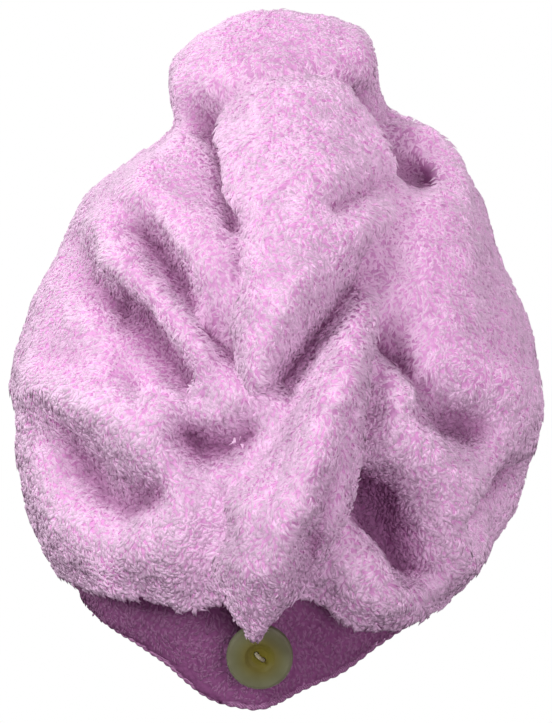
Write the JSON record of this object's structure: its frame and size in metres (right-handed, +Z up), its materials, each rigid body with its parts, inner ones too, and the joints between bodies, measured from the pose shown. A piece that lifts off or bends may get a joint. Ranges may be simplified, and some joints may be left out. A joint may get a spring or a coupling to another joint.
{
  "type": "hair turban towel",
  "caption": "Terry hair turban shown as worn: a hollow hood with a twisted knot on top, and a tail that runs down the back to an elastic loop hooked on a round button at the nape.",
  "frame": {"origin": "where the crown of the head seats inside the hood, 225 mm above the lowest point of the nape hem", "axes": "+Z up, -Y towards the nape with its button, +Y towards the forehead, +X to the right as seen from behind"},
  "size_m": [0.2261, 0.2539, 0.2994],
  "materials": {
    "terry": "looped terry pile, matte",
    "elastic": "covered elastic cord, matte",
    "button": "satin, slightly see-through",
    "thread": "sewing thread, matte"
  },
  "bodies": {
    "root": {"hood": "terry", "tail": "terry", "elastic_loop": "elastic", "button": "button", "button_thread": "thread"}
  },
  "joints": []
}
